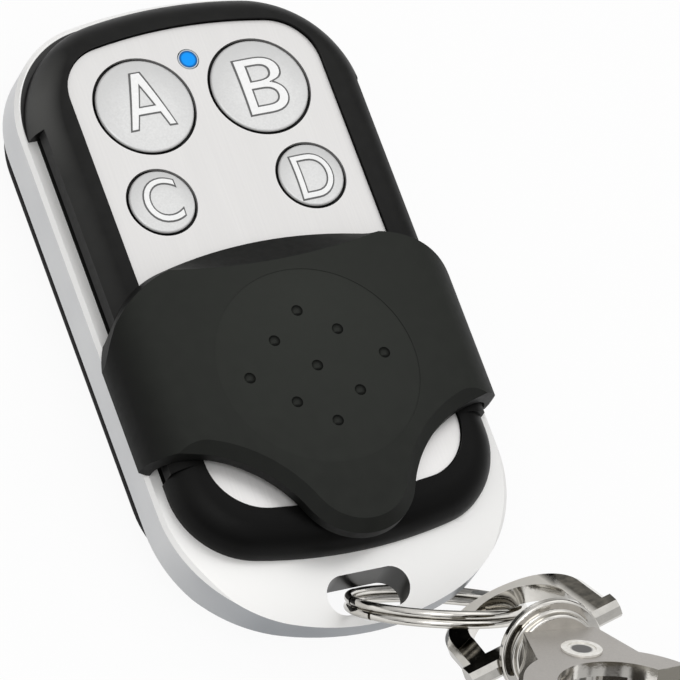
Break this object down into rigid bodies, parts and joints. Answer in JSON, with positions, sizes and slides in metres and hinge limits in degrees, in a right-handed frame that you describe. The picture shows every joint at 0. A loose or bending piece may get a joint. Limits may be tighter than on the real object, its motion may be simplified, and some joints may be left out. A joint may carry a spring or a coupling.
{
  "type": "garage door remote",
  "caption": "Key-ring radio transmitter with a chrome frame, push buttons, a sliding cover and a swivel snap hook on a split ring.",
  "frame": {"origin": "centre of the flat back of the rear cover", "axes": "+Y along the body towards the light, +Z out of the face, +X to the right seen from the front"},
  "size_m": [0.0344, 0.0873, 0.0343],
  "materials": {
    "chrome": "mirror polish",
    "black_plastic": "satin moulded plastic",
    "brushed_plate": "brushed along its length",
    "silver_key": "satin silver with a bright rim",
    "blue_light": "clear blue light pipe",
    "board": "solder mask",
    "chip_black": "moulded package",
    "chip_tan": "ceramic",
    "tin": "tinned",
    "cell_wrap": "shrink sleeve",
    "screw_steel": "black zinc",
    "nickel": "nickel plate"
  },
  "bodies": {
    "case": {"chrome_frame": "chrome", "front_bezel": "black_plastic", "face_plate": "brushed_plate", "rear_cover": "black_plastic", "rear_screws": "screw_steel", "led_window": "blue_light", "circuit_board": "board", "encoder_chip": "chip_black", "resonator": "tin", "trim_capacitor": "chip_tan", "transistor": "chip_black", "chip_capacitors": "chip_tan", "chip_resistors": "chip_black", "led_chip": "blue_light", "battery_can": "cell_wrap", "battery_nub": "tin", "plate_contact": "tin", "spring_contact": "tin", "switch_a": "chip_black", "switch_b": "chip_black", "switch_c": "chip_black", "switch_d": "chip_black"},
    "cover": {"slide_cover": "black_plastic"},
    "ring": {"split_ring": "nickel"},
    "eye": {"clasp_loop": "nickel"},
    "hook": {"hook_body": "nickel", "hook_collar": "nickel", "swivel_post": "nickel", "hook_rivet": "nickel"},
    "gate": {"hook_gate": "nickel"},
    "key_a": {"button_a": "silver_key", "plunger_a": "chip_black"},
    "key_b": {"button_b": "silver_key", "plunger_b": "chip_black"},
    "key_c": {"button_c": "silver_key", "plunger_c": "chip_black"},
    "key_d": {"button_d": "silver_key", "plunger_d": "chip_black"}
  },
  "joints": [
    {"name": "cover_slide", "type": "slide", "parent": "case", "child": "cover", "axis": [0, 1, 0], "range_m": [0, 0.019]},
    {"name": "press_a", "type": "slide", "parent": "case", "child": "key_a", "axis": [0, 0, -1], "range_m": [0, 0.0003], "stiffness_N_per_m": 3000},
    {"name": "press_b", "type": "slide", "parent": "case", "child": "key_b", "axis": [0, 0, -1], "range_m": [0, 0.0003], "stiffness_N_per_m": 3000},
    {"name": "press_c", "type": "slide", "parent": "case", "child": "key_c", "axis": [0, 0, -1], "range_m": [0, 0.0003], "stiffness_N_per_m": 3000},
    {"name": "press_d", "type": "slide", "parent": "case", "child": "key_d", "axis": [0, 0, -1], "range_m": [0, 0.0003], "stiffness_N_per_m": 3000},
    {"name": "ring_swing", "type": "hinge", "parent": "case", "child": "ring", "pos_m": [-0.0014, -0.02725, 0.00505], "axis": [1, 0, 0], "range_deg": [-40, 0]},
    {"name": "eye_swing", "type": "hinge", "parent": "ring", "child": "eye", "pos_m": [0.00841, -0.03431, 0.01224], "axis": [-0.8773, -0.1252, 0.4634], "range_deg": [-20, 9]},
    {"name": "hook_swivel", "type": "hinge", "parent": "eye", "child": "hook", "pos_m": [0.00853, -0.03973, 0.01756], "axis": [-0.065, -0.7311, 0.6791], "continuous": true},
    {"name": "gate_swing", "type": "hinge", "parent": "hook", "child": "gate", "pos_m": [0.00816, -0.04397, 0.02149], "axis": [0.0997, 0.6724, 0.7334], "range_deg": [-22, 0], "stiffness_Nm_per_rad": 0.02}
  ]
}
